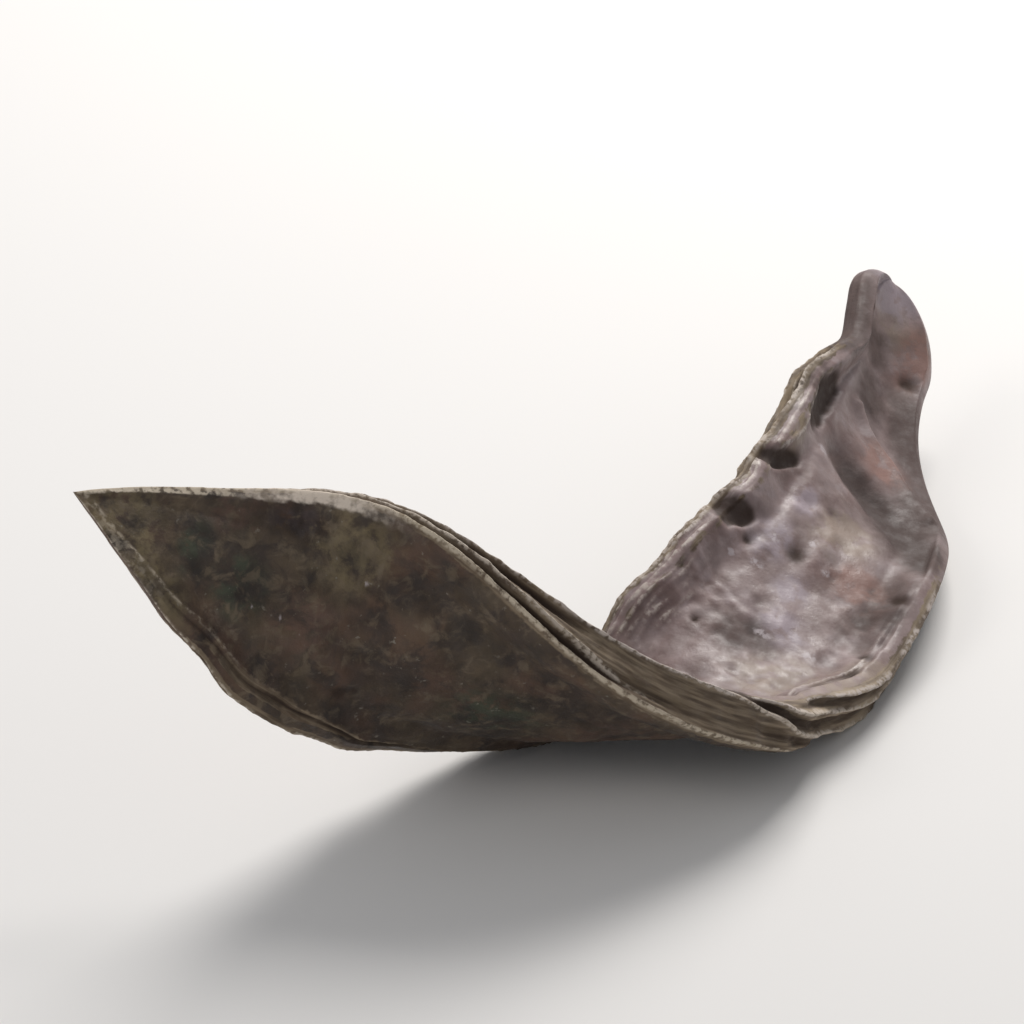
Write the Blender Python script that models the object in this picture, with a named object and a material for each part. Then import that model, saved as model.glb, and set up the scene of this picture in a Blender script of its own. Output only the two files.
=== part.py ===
"""Carob pod: one dried, twisted seed pod with thick ridged edges, as a single closed solid.

The sizes are in millimetres, and the mesh is scaled to metres as it is made. The pod is a closed section
swept along a bent and twisted centre line. Across the section runs the width, from the back edge to the seam
edge, and through it the thickness, from the inner face to the outer face.
"""
import math

import bpy
import numpy as np

MM = 0.001

# Stations at even steps from the pointed tip to the blunt base: centre line x, y, z, turn of the section in
# degrees (0 has the seam edge up, 90 has it towards -Y where the pod runs along +X), width, edge thickness
STATIONS = (
    (-41.5, -14.0, 38.0, -55.0, 0.0, 0.8),
    (-26.0, -14.5, 30.0, -38.0, 19.0, 2.5),
    (-12.0, -14.1, 21.5, 2.0, 25.5, 4.1),
    (2.0, -11.1, 12.6, 43.0, 28.0, 5.5),
    (16.0, -2.5, 6.5, 74.0, 28.5, 5.8),
    (26.8, 12.1, 7.6, 112.0, 26.6, 5.6),
    (35.5, 29.1, 10.5, 121.0, 23.7, 5.4),
    (39.3, 49.0, 11.1, 148.0, 21.8, 5.2),
    (43.0, 68.5, 18.0, 147.0, 12.0, 5.0),
)
TIP_ROUNDING = 1.5
BASE_ROUNDING = 6.0

# Grid of the skin: rings along the pod and round its base, and places across a face and an edge as shares of
# the half width and of the half thickness
RINGS = 106
CAP_RINGS = 5
FACE_SHARES = (1.0, 0.93, 0.84, 0.74, 0.60, 0.42, 0.22, 0.0, -0.22, -0.42, -0.60, -0.74, -0.84, -0.93)
SEAM_SHARES = (-1.0, -0.90, -0.76, -0.58, -0.42, -0.22, 0.0, 0.22, 0.42, 0.58, 0.76, 0.90)
BACK_SHARES = (1.0, 0.82, 0.56, 0.26, 0.0, -0.26, -0.56, -0.82)

# Shares of the edge thickness: depth of the edge profiles, thickness of the back edge towards the tip and
# towards the base, thickness of the sunken faces, and where on a face its flanks begin
EDGE_DEPTH_SHARE = 0.34
BACK_SHARE_TIP = 0.66
BACK_SHARE_BASE = 0.72
FACE_SHARE = 0.54
LEAST_FACE_SHARE = 0.35
FLANK_START = 0.62

# The seam edge has three ridges with a groove on each side of the middle one: place of the grooves, their
# reach and depth as shares of the edge, and how deep they are along the pod
GROOVE_PLACE = 0.42
GROOVE_REACH = 0.16
GROOVE_DEPTH = 0.55
GROOVE_ALONG = (
    (0.0, 0.0), (12.0, 0.3), (32.0, 1.0), (46.0, 1.0), (54.0, 0.3), (64.0, 0.4), (80.0, 1.0), (148.0, 0.9),
)
CORNER_START = 0.76

# The back edge has two ridges with one groove
BACK_GROOVE_REACH = 0.36
BACK_GROOVE_DEPTH = 0.55
BACK_CORNER_START = 0.5

# The seam edge is straight behind the tip, draws in to a waist near the base and has a small knob there:
# place from the tip, how far it stands out, reach
SEAM_FORMS = ((15.0, -1.5, 9.0), (77.5, -1.9, 5.5), (130.0, -2.5, 8.0), (139.5, 0.7, 2.6))

# Folds across the seam edge where it bends the most
FOLD_FIRST = 64.0
FOLD_LAST = 76.0
FOLD_FADE = 3.0
FOLD_SPACING = 4.3
FOLD_DEPTH = 0.28

# Hollows beside the back edge on the inner face: place from the tip, place across, depth
HOLLOWS = ((94.5, -0.86, 1.1), (105.0, -0.86, 1.2), (124.5, -0.68, 1.6), (139.0, -0.74, 0.7))
HOLLOW_LENGTH = 2.6
HOLLOW_REACH = 0.15

# Broad forms of the inner face near the base, a valley and the fold beyond it: place from the tip, place
# across, height, reach along and across
INNER_FORMS = ((109.0, 0.25, -0.8, 4.0, 0.40), (121.5, 0.35, 0.5, 3.0, 0.45), (141.0, 0.45, 0.9, 4.5, 0.50))

# The back edge is scooped out near the base, place, size and reach, and wavers by sine waves: length, height,
# phase
SCOOP = (134.5, 2.7, 6.0)
BACK_WAVES = ((13.7, 0.20, 0.0), (8.3, 0.14, 1.0))

# Where the pod is narrower than this, the cupping and the relief of its faces fade out
FULL_WIDTH = 16.0

# Cupping of the section: the middle of the pod stands off towards the outer face, more so near the base
CUP_TIP = 0.6
CUP_BASE = 2.2
CUP_FIRST = 65.0
CUP_LAST = 100.0

# Seeds that show as low swellings in both faces
SEED_FIRST = 24.0
SEED_SPACING = 10.6
SEED_COUNT = 11
SEED_RISE = 0.55
SEED_LENGTH = 3.7
SEED_WIDTH = 4.6
SEED_STAGGER = 1.6

# A low line runs beside the back edge on both faces, with a shallow channel inside it that also follows the
# seam edge: place across, height, reach
LINE = (-0.84, 0.30, 0.07)
CHANNELS = ((-0.68, -0.45, 0.10), (0.70, -0.35, 0.12))

# Irregular low relief of the two faces: height, pitch, number of waves, seed
OUTER_RELIEF = (0.16, 11.0, 9, 3)
INNER_RELIEF = (0.28, 8.0, 12, 8)

# The lowest skin is levelled by this much, which gives the pod's three low points small flat spots
SETTLE = 0.40


def clear_scene():
    """Removes what the start-up file holds."""
    for old in list(bpy.data.objects):
        bpy.data.objects.remove(old, do_unlink=True)


def smooth(x, low, high):
    """Smooth step from 0 at low to 1 at high."""
    f = np.clip((x - low) / (high - low), 0.0, 1.0)
    return f * f * (3.0 - 2.0 * f)


def bump(x, centre, reach):
    """Bell of height 1."""
    return np.exp(-((x - centre) / reach) ** 2)


def crumple(s, a, pitch, waves, seed):
    """Irregular relief of about unit height: a sum of waves in seeded directions."""
    rng = np.random.default_rng(seed)
    total = np.zeros(s.shape)
    for _ in range(waves):
        angle = rng.uniform(0.0, math.tau)
        step = pitch * rng.uniform(0.7, 1.5)
        phase = rng.uniform(0.0, math.tau)
        total += np.sin(math.tau * (s * math.cos(angle) + a * math.sin(angle)) / step + phase)
    return total / math.sqrt(waves)


def natural_spline(values, at):
    """Natural cubic spline through evenly spaced values, and its slope."""
    count = len(values)
    matrix = np.eye(count)
    right = np.zeros_like(values)
    for k in range(1, count - 1):
        matrix[k, k - 1:k + 2] = (1.0, 4.0, 1.0)
        right[k] = 6.0 * (values[k - 1] - 2.0 * values[k] + values[k + 1])
    bend = np.linalg.solve(matrix, right)
    index = np.minimum(at.astype(int), count - 2)
    f = (at - index)[:, None]
    g = 1.0 - f
    low, high = values[index], values[index + 1]
    bend_low, bend_high = bend[index], bend[index + 1]
    point = g * low + f * high + ((g ** 3 - g) * bend_low + (f ** 3 - f) * bend_high) / 6.0
    slope = high - low + ((1.0 - 3.0 * g ** 2) * bend_low + (3.0 * f ** 2 - 1.0) * bend_high) / 6.0
    return point, slope


def ring_distances(length):
    """Distances of the rings from the tip: even along the pod, and in even angles round its base."""
    main = np.linspace(0.0, length - BASE_ROUNDING, RINGS)
    angles = np.linspace(0.0, 0.5 * math.pi, CAP_RINGS + 2)[1:]
    return np.concatenate([main, length - BASE_ROUNDING + BASE_ROUNDING * np.sin(angles)])


def centre_line():
    """Station values, distances from the tip and directions of the section at each ring."""
    table = np.array(STATIONS)
    fine_at = np.linspace(0.0, len(table) - 1.0, 2001)
    fine, _ = natural_spline(table, fine_at)
    steps = np.linalg.norm(np.diff(fine[:, :3], axis=0), axis=1)
    walked = np.concatenate([[0.0], np.cumsum(steps)])
    distance = ring_distances(walked[-1])
    values, slope = natural_spline(table, np.interp(distance, walked, fine_at))
    along = slope[:, :3] / np.linalg.norm(slope[:, :3], axis=1)[:, None]
    level = np.cross(along, (0.0, 0.0, 1.0))
    level /= np.linalg.norm(level, axis=1)[:, None]
    rise = np.cross(level, along)
    turn = np.radians(values[:, 3:4])
    across = rise * np.cos(turn) + level * np.sin(turn)
    outward = np.cross(along, across)
    return values, distance, across, outward


def end_rounding(s):
    """Share of the full size near the two ends: a thin beak at the tip and a rounded base."""
    tip = np.sqrt(np.clip(s / TIP_ROUNDING, 0.0, 1.0))
    cap = 1.0 - np.clip((s[-1] - s) / BASE_ROUNDING, 0.0, 1.0)
    return tip, np.sqrt(1.0 - cap * cap)


def edges(s, width, thickness):
    """Place of the seam edge and the back edge across the width, and the depth of their profiles."""
    half = 0.5 * width
    full = np.minimum(1.0, thickness / 3.0)
    depth = np.minimum(EDGE_DEPTH_SHARE * thickness, 0.5 * half)
    folded = smooth(s, FOLD_FIRST - FOLD_FADE, FOLD_FIRST + FOLD_FADE)
    folded = folded * (1.0 - smooth(s, FOLD_LAST - FOLD_FADE, FOLD_LAST + FOLD_FADE))
    seam_end = half + FOLD_DEPTH * folded * np.sin(math.tau * s / FOLD_SPACING)
    for place, size, reach in SEAM_FORMS:
        seam_end = seam_end + size * bump(s, place, reach)
    scoop_at, scoop_size, scoop_reach = SCOOP
    back_end = -half + scoop_size * bump(s, scoop_at, scoop_reach)
    for length, height, phase in BACK_WAVES:
        back_end = back_end + height * full * np.sin(math.tau * s / length + phase)
    return seam_end, back_end, depth


def seam_drop(s, q):
    """Share of the edge's depth by which the skin of the seam edge lies back, at share q of the thickness."""
    along, strength = np.transpose(GROOVE_ALONG)
    grooves = bump(q, GROOVE_PLACE, GROOVE_REACH) + bump(q, -GROOVE_PLACE, GROOVE_REACH)
    corner = max(0.0, (abs(q) - CORNER_START) / (1.0 - CORNER_START)) ** 2
    return corner + GROOVE_DEPTH * grooves * np.interp(s, along, strength)


def back_drop(q):
    """The same for the back edge."""
    corner = max(0.0, (abs(q) - BACK_CORNER_START) / (1.0 - BACK_CORNER_START)) ** 2
    return corner + BACK_GROOVE_DEPTH * bump(q, 0.0, BACK_GROOVE_REACH)


def inner_forms(s, v):
    """Hollows and broad forms of the inner face."""
    forms = np.zeros(s.shape)
    for place, share, depth in HOLLOWS:
        forms -= depth * bump(s, place, HOLLOW_LENGTH) * bump(v, share, HOLLOW_REACH)
    for place, share, height, length, reach in INNER_FORMS:
        forms += height * bump(s, place, length) * bump(v, share, reach)
    return forms


def face_relief(s, a, v, side):
    """Low relief of a face, side +1 for the outer and -1 for the inner one."""
    relief = np.zeros(s.shape)
    for k in range(SEED_COUNT):
        shift = SEED_STAGGER * math.sin(2.4 * k)
        relief += SEED_RISE * bump(s, SEED_FIRST + SEED_SPACING * k, SEED_LENGTH) * bump(a, shift, SEED_WIDTH)
    for share, height, reach in (LINE, *CHANNELS):
        relief += height * bump(v, share, reach)
    if side > 0.0:
        height, *waves = OUTER_RELIEF
        relief += height * crumple(s, a, *waves)
    else:
        height, *waves = INNER_RELIEF
        relief += height * crumple(s, a, *waves) * (0.5 + 0.5 * smooth(s, 40.0, 80.0))
        relief += inner_forms(s, v)
    return relief * smooth(1.0 - abs(v), 0.0, 0.14)


def face_point(s, v, low, high, seam, back, cup, breadth, side):
    """Offsets of a face at share v of the way between the edges, -1 at the back and +1 at the seam."""
    a = 0.5 * (low + high) + 0.5 * (high - low) * v
    edge = seam if v > 0.0 else back
    sunken = FACE_SHARE * seam
    flank = (edge - sunken) * smooth(abs(v), FLANK_START, 1.0)
    relief = face_relief(s, a, v, side) * breadth * np.minimum(1.0, seam / 2.0)
    height = np.maximum(sunken + flank + relief, LEAST_FACE_SHARE * seam)
    return a, side * height + cup * (1.0 - v * v)


def section(s, width, thickness):
    """Closed section at distances s from the tip: offsets across the width and through the thickness."""
    seam = 0.5 * thickness
    back = seam * (BACK_SHARE_TIP + (BACK_SHARE_BASE - BACK_SHARE_TIP) * smooth(s, 60.0, 95.0))
    seam_end, back_end, depth = edges(s, width, thickness)
    low, high = back_end + depth, seam_end - depth
    breadth = np.minimum(1.0, width / FULL_WIDTH)
    cup = (CUP_TIP + (CUP_BASE - CUP_TIP) * smooth(s, CUP_FIRST, CUP_LAST)) * breadth ** 2
    offsets = []
    for q in SEAM_SHARES:
        offsets.append((seam_end - depth * seam_drop(s, q), seam * q))
    for v in FACE_SHARES:
        offsets.append(face_point(s, v, low, high, seam, back, cup, breadth, 1.0))
    for q in BACK_SHARES:
        offsets.append((back_end + depth * back_drop(q), back * q))
    for v in FACE_SHARES:
        offsets.append(face_point(s, -v, low, high, seam, back, cup, breadth, -1.0))
    return offsets


def pod_points():
    """Rings of points of the skin between the tip and the base, and the two end points."""
    values, distance, across, outward = centre_line()
    tip, cap = end_rounding(distance)
    inner = slice(1, -1)
    width = (values[:, 4] * cap)[inner]
    thickness = (values[:, 5] * tip * cap)[inner]
    rings = []
    for a, b in section(distance[inner], width, thickness):
        rings.append(values[inner, :3] + a[:, None] * across[inner] + b[:, None] * outward[inner])
    return np.stack(rings, axis=1), values[0, :3], values[-1, :3]


def settle(rings, tip, base):
    """Centres the pod's box on the origin, stands it on the floor plane and levels its low points."""
    ends = np.array([tip, base])
    low = np.minimum(rings.min(axis=(0, 1)), ends.min(axis=0))
    high = np.maximum(rings.max(axis=(0, 1)), ends.max(axis=0))
    shift = np.array([-(low[0] + high[0]) / 2.0, -(low[1] + high[1]) / 2.0, -low[2] - SETTLE])
    rings = rings + shift
    rings[:, :, 2] = np.maximum(rings[:, :, 2], 0.0)
    return rings, tip + shift, base + shift


def pod_mesh():
    """Closed skin of the pod."""
    rings, tip, base = settle(*pod_points())
    count, around = rings.shape[:2]
    tip_index = count * around
    base_index = tip_index + 1
    last = (count - 1) * around
    faces = []
    for i in range(count - 1):
        for j in range(around):
            k = (j + 1) % around
            a, b = i * around + j, i * around + k
            c, d = b + around, a + around
            faces.append((a, b, d))
            faces.append((b, c, d))
    for j in range(around):
        k = (j + 1) % around
        faces.append((tip_index, k, j))
        faces.append((base_index, last + j, last + k))
    points = np.vstack([rings.reshape(-1, 3), tip, base]) * MM
    mesh = bpy.data.meshes.new("pod")
    mesh.from_pydata(points.tolist(), [], faces)
    mesh.validate()
    mesh.shade_smooth()
    return mesh


def husk_material():
    """Dull brown dried husk."""
    material = bpy.data.materials.new("husk")
    material.use_nodes = True
    shader = material.node_tree.nodes["Principled BSDF"]
    shader.inputs["Base Color"].default_value = (0.16, 0.11, 0.085, 1.0)
    shader.inputs["Roughness"].default_value = 0.6
    shader.inputs["Metallic"].default_value = 0.0
    return material


def main():
    clear_scene()
    pod = bpy.data.objects.new("pod", pod_mesh())
    pod.data.materials.append(husk_material())
    bpy.context.scene.collection.objects.link(pod)


main()
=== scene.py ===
"""Looks of the carob pod: the fine skin with its ridges, folds and wrinkles, and the floor, light and camera.

Sizes are in millimetres, and points are scaled to metres as the mesh is made. The skin is a closed section
swept along the pod's centre line, as in the solid: across it run the seam edge, the outer face, the back edge
and the inner face. Places along the pod are distances from the tip.

In the functions, s is a place along the pod, a and b are distances from the centre line across the width and
the thickness, q is a place across an edge and v a place across a face.
"""

import math

import bpy
import numpy as np
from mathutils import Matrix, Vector


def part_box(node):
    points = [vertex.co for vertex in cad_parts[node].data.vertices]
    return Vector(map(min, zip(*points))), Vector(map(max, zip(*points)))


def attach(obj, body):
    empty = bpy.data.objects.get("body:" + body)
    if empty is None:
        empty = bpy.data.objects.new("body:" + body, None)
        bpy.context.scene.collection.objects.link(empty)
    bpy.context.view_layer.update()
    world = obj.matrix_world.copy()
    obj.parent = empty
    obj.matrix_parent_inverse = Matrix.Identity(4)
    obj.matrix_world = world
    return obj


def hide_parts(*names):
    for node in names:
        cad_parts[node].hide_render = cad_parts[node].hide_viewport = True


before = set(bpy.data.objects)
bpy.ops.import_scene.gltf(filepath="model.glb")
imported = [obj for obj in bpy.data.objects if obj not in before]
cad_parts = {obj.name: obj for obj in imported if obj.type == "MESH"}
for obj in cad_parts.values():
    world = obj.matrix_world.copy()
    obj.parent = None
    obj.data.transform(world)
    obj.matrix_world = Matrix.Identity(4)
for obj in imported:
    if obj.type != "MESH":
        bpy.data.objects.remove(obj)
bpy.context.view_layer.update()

MM = 0.001

# Stations at even steps from the pointed tip to the blunt base: centre line x, y, z, turn of the section in
# degrees, width, edge thickness
STATIONS = (
    (-41.5, -14, 38, -55, 0, 0.8),
    (-26, -14.5, 30, -38, 19, 2.5),
    (-12, -14.1, 21.5, 2, 25.5, 4.1),
    (2, -11.1, 12.6, 43, 28, 5.5),
    (16, -2.5, 6.5, 74, 28.5, 5.8),
    (26.8, 12.1, 7.6, 112, 26.6, 5.6),
    (35.5, 29.1, 10.5, 121, 23.7, 5.4),
    (39.3, 49, 11.1, 148, 21.8, 5.2),
    (43, 68.5, 18, 147, 12, 5),
)
TIP_ROUNDING = 1.5
BASE_ROUNDING = 6.0

# Grid of the skin: rings along the pod and round its base, places across each edge and face, and how much
# closer together the places are towards a face's edges
RINGS = 478
CAP_RINGS = 14
SEAM_STEPS = 48
OUTER_STEPS = 46
BACK_STEPS = 42
INNER_STEPS = 60
CROWDING = 0.25

# Main forms, as in the solid. A place across an edge is a share of its half thickness, from -1 at the inner
# face to 1 at the outer one. A place across a face is a share of its half width, from -1 at the back edge to
# 1 at the seam edge. COMES and GOES give the places along the pod between which a form comes in or goes out,
# and ALONG gives both. SEAM_FORMS and SCOOP: place, size, reach. INNER_FORMS: place along, place across,
# height, reach along and across. BACK_WAVES: length, height, phase. CHANNELS: place across, height, reach.
EDGE_DEPTH_SHARE = 0.34
BACK_SHARE_TIP = 0.66
BACK_SHARE_BASE = 0.72
BACK_SHARE_COMES = (60, 95)
FACE_SHARE = 0.54
LEAST_OUTER_SHARE = 0.35
FLANK_START = 0.62
GROOVE_DEPTH = 0.55
CORNER_START = 0.76
BACK_GROOVE_REACH = 0.36
BACK_GROOVE_DEPTH = 0.55
BACK_CORNER_START = 0.5
SEAM_FORMS = ((15, -1.5, 9), (77.5, -1.9, 5.5), (130, -2.5, 8), (139.5, 0.7, 2.6))
FOLDS_ALONG = (61, 67, 73, 79)
FOLD_SPACING = 4.3
FOLD_DEPTH = 0.28
INNER_FORMS = ((109, 0.25, -0.8, 4, 0.4), (121.5, 0.35, 0.5, 3, 0.45), (141, 0.45, 0.9, 4.5, 0.5))
SCOOP = (134.5, 2.7, 6)
BACK_WAVES = ((13.7, 0.2, 0), (8.3, 0.14, 1))
CUP_TIP = 0.6
CUP_BASE = 2.2
CUP_COMES = (65, 100)
SEED_FIRST = 24.0
SEED_SPACING = 10.6
SEED_COUNT = 11
SEED_RISE = 0.55
SEED_LENGTH = 3.7
SEED_WIDTH = 4.6
SEED_STAGGER = 1.6
CHANNELS = ((-0.68, -0.45, 0.1), (0.7, -0.35, 0.12))
CORNER_FADE = 0.14

# The forms fade out where the pod is narrower or thinner: width for the faces, thickness for the waves of the
# back edge, half thickness for the relief of the faces and of the edges
FULL_WIDTH = 16.0
FULL_THICKNESS = 3.0
FULL_FACE_HALF = 2.0
FULL_EDGE_HALF = 1.6

# Unlike the solid's, the inner face may sink deeper. Its flank is steeper beside the back edge, and gentler
# beside the seam edge near the base, where the rim is lower and rounder.
LEAST_INNER_SHARE = 0.14
STEEP_START = 0.8
STEEP_ALONG = (60, 84, 122, 134)
GENTLE_WIDENING = 0.22
GENTLE_COMES = (108, 118)
RIM_ROUNDING = 0.12
RIM_LOWERING = 0.22
RIM_COMES = (98, 108)

# Near the base the back edge closes, and the looks of the inner face run over both edges
BACK_CLOSES = (124, 134)
BASE_COMES = (128, 136)

# Irregular patterns: height, length along the pod, length across it, seed, and octaves where they differ. The
# crumbs vary the height of what stands out.
SEAM_CRUMBS = (0.45, 1.7, 0.8, 62)
SEAM_WRINKLES = (0.07, 5, 0.55, 64)
SEAM_GRAIN = (0.05, 0.8, 0.5, 65)
FOLD_WRINKLES = (0.12, 2.2, 1.6, 63)
BACK_CRUMBS = (0.5, 1.2, 1, 71)
BACK_WRINKLES = (0.08, 4, 0.6, 72)
OUTER_CRUMBS = (0.5, 1.4, 1.4, 81)
OUTER_SWELLS = (0.15, 8, 6, 83)
OUTER_FACETS = (0.12, 5, 4, 84)
OUTER_WRINKLES = (0.13, 2.4, 1.7, 86, 3)
OUTER_GRAIN = (0.05, 0.8, 0.8, 85)
FLAKES = (0.16, 3.2, 0.8, 82)
WORN_HIGHLIGHT_BORDER = (0.35, 1.6, 0.8, 87)
INNER_CRUMBS = (0.5, 1.3, 1.3, 91)
INNER_SWELLS = (0.22, 6, 6, 97)
INNER_FACETS = (0.3, 5.4, 4.2, 93)
INNER_DIMPLES = (0.07, 2.5, 2, 95)
INNER_WRINKLES = (0.08, 1.5, 5, 98)
INNER_CREASES = (0.022, 1, 0.9, 96)
INNER_GRAIN = (0.02, 0.8, 0.8, 99)
HOLLOW_BORDER = (0.1, 1.8, 1.4, 101, 2)
HOLLOW_BORDER_SHIFT = 4.2

# Height of the faces' relief that looks like a full crest, and slant of the wrinkles that run across
OUTER_CREST = 0.16
INNER_CREST = 0.4
FOLD_SLANT = 1.76
INNER_SLANT = 0.4

# Hollows beside the back edge: place along, half length, distance of the middle from the edge's corner, half
# width, tilt into the face; their depth, and the share of it that notches the edge
HOLLOWS = ((95.6, 3.5, 1, 2.1, 0.18), (106.8, 4.5, 1.1, 1.5, 0.38), (120.8, 8.2, 1.9, 2.6, 0.04))
HOLLOW_CUT = 1.1
HOLLOW_NOTCH = 0.7

# Strands of the seam edge: places across, height, strengths along the pod, reach. One strand crosses the edge
# at the folds and the ones behind it follow. All waver a little.
STRANDS = (
    (((0, 0.84), (66, 0.84), (78, 0.98)), 0.28, ((0, 0.6), (15, 1), (68, 1), (76, 0)), 0.07),
    (((0, -0.02), (36, 0.02), (46, 0.22), (56, 0.6)), 0.34, ((10, 0), (20, 1), (50, 1), (57, 0)), 0.11),
    (((0, -0.84), (58, -0.84), (64.5, -0.74), (68.8, -0.3), (71.4, 0.14), (75, 0.52), (80, 0.8)), 0.36,
     ((0, 0.4), (26, 0.8), (46, 1), (64, 1.3), (78, 1.3), (84, 0.8), (138, 0.6), (144, 0)), 0.115),
    (((62, -0.97), (69, -0.82), (73, -0.58), (78, -0.24), (84, 0)), 0.32,
     ((64, 0), (69, 1.3), (80, 1.3), (86, 0.8), (138, 0.5), (144, 0)), 0.1),
    (((70, -0.98), (76, -0.86), (148, -0.84)), 0.3, ((72, 0), (77, 1), (98, 0.8), (106, 0)), 0.085),
)
SEAM_WAVER = 0.05
SEAM_WAVER_LENGTH = 5.0

# Grooves between the strands: places across, strengths along the pod; their reach
GROOVES = (
    (((0, 0.42), (36, 0.44), (46, 0.56), (54, 0.4), (62, 0.36)),
     ((0, 0), (12, 0.3), (28, 1), (45, 1), (54, 0.45), (62, 0.1))),
    (((0, -0.44), (52, -0.48)),
     ((0, 0), (12, 0.3), (28, 1), (42, 0.9), (48, 0.2), (52, 0))),
    (((60, -0.92), (66, -0.84), (69.5, -0.56), (72, -0.22), (76, 0.2), (81, 0.42)),
     ((62, 0), (66, 0.9), (78, 0.85), (84, 0.6), (148, 0.6))),
    (((70, -0.94), (75, -0.74), (80, -0.52), (86, -0.42)),
     ((71, 0), (75, 0.8), (80, 0.8), (98, 0.6), (104, 0))),
    (((64, 0.05), (69, 0.3), (72, 0.55), (77, 0.86)),
     ((62, 0), (67, 0.4), (74, 0.7), (79, 0))),
)
GROOVE_REACH = 0.21

# Where the folds wrinkle the seam edge, where the painted shade of its grooves is lighter and its ridge is
# worn and painted with a highlight (place, reach), from where on its strands are pale only in patches, and
# the pale line of the tip
FOLDED_ALONG = (62, 67, 80, 86)
LESS_RECESS_SHADE = (78, 8)
WORN_HIGHLIGHT_AT = (21, 6.5)
PATCHY_COMES = (84, 90)
TIP_LINE = ((0, 0.8), (4, 1), (9, 0.9), (14, 0.6), (19, 0))

# Two ridges of the back edge, strands in the groove between them, and fibres on its corner with the inner
# face: place across, reach
BACK_RIDGE_PLACE = 0.62
BACK_RIDGE_REACH = 0.12
BACK_RIDGE_HEIGHT = 0.26
BACK_STRANDS = ((0.24, 0.085), (-0.16, 0.075))
BACK_STRAND_HEIGHT = 0.55
BACK_STRANDS_COME = (18, 30)
CORNER_STRANDS = ((-0.79, 0.04), (-0.91, 0.03))
CORNER_STRAND_HEIGHT = 0.26
CORNER_STRANDS_ALONG = (60, 72, 118, 128)
BACK_BAND_COMES = (8, 20)
BACK_TIP_PALE = ((0, 0.2), (2, 0.34), (9, 0.34), (15, 0))

# Where the groove of the back edge gapes: place along, reach
SPLITS = ((90.5, 1.3), (97, 2), (112, 1.5))
SPLIT_DEPTH = 0.6

# On the outer face a thin line runs beside the back edge, with a groove outside it and flakes inside it.
# Tables of pairs give a place along the pod and a distance from the edge there, or a strength; FLAKES_AT is a
# place along and a reach.
LINE_REACH = 0.24
BACK_LINE_PLACE = ((0, 0.5), (5, 0.8), (9, 1.1), (17, 1.5), (28, 1.6), (40, 0.9), (148, 0.8))
BACK_LINE_HEIGHT = 0.22
BACK_LINE_PALE = ((0, 0.3), (12, 0.5), (18, 0.4), (27, 0.18), (148, 0.25))
LINE_GROOVE_OFFSET = 0.65
LINE_GROOVE_DEPTH = ((8, 0), (15, 0.3), (28, 0.5), (38, 0.5), (48, 0.2), (148, 0.2))
FLAKES_OFFSET = 1.6
FLAKES_REACH = 1.4
FLAKES_AT = (17, 9)
OUTER_BAND_COMES = (12, 24)

# On the inner face a slit and a thin line run beside the seam edge
SLIT_REACH = 0.3
SEAM_SLIT_PLACE = ((0, 0.4), (60, 0.4), (68, 0.5), (78, 0.7), (90, 0.5), (100, 0.3), (148, 0.2))
SEAM_SLIT_DEPTH = ((50, 0), (56, 0.35), (66, 0.5), (84, 0.65), (92, 0.3), (98, 0))
SEAM_LINE_OFFSET = 0.6
SEAM_LINE_HEIGHT = 0.22
SEAM_LINE_ALONG = (48, 58, 96, 104)
SEAM_LINE_PALE = ((50, 0), (58, 1), (88, 0.9), (98, 0))

# The line beside the back edge bends towards the edge at each hollow
RIM_LINE_FAR = ((70, 0.5), (88, 0.5), (100, 0.6), (108, 1.5), (115, 1.7), (121, 0.8), (148, 0.6))
RIM_LINE_NEAR = 0.3
RIM_LINE_MARGIN = 0.6
RIM_LINE_WAVER = 0.14
RIM_LINE_HEIGHT = 0.28
RIM_LINE_STRENGTH = ((98, 0), (102, 0.3), (108, 1), (119, 1), (126, 0.2), (132, 0))
RIM_BAND_GOES = (122, 130)

# Fibres on the inner face beside the back edge: place and reach along, distances from the edge, waver, reach,
# height; and over which distance from the edge the painted shade in the gaps between them goes out
NET_AT = (79.5, 7.5)
NET_LINES = (0.35, 1.15, 2, 2.9, 3.8)
NET_WAVER = 0.45
NET_LINE_REACH = 0.26
NET_HEIGHT = 0.34
NET_GAPS_GO = (2.5, 4.5)

# Long crease of the inner face near the base, and the valley beside it: place along, place across
CREASE = ((127, -0.25), (124, 0.08), (121.5, 0.4), (118.5, 0.66), (114.5, 0.86))
CREASE_HEIGHT = 0.8
CREASE_REACH = 0.9
VALLEY = ((116.5, -0.3), (114.9, 0), (114, 0.29), (112, 0.57), (108.3, 0.84), (105, 0.97))
VALLEY_DEPTH = 1.15
VALLEY_REACH = 2.3

# The inner face is the most wrinkled at this place and reach, and calm beside the seam edge near the base
ROUGH = (90, 17)
CALM_COMES = (98, 106)

# Small pits: side, place along, place across, depth, radius
PITS = (
    (1, 32.4, -0.6, 0.5, 0.8), (1, 33.6, -0.52, 0.35, 0.5), (-1, 73.5, 0.92, 0.45, 0.7),
    (-1, 77, 0.93, 0.45, 0.6), (-1, 88, 0.88, 0.4, 0.7), (-1, 96.6, -0.22, 0.45, 1.3),
    (-1, 94.2, -0.68, 0.4, 0.7), (-1, 136.4, 0.92, 0.7, 1.1), (-1, 81.6, -0.57, 0.35, 0.5),
    (-1, 97.6, 0.88, 0.35, 0.8), (-1, 139.5, -0.88, 0.5, 0.8),
)

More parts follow.
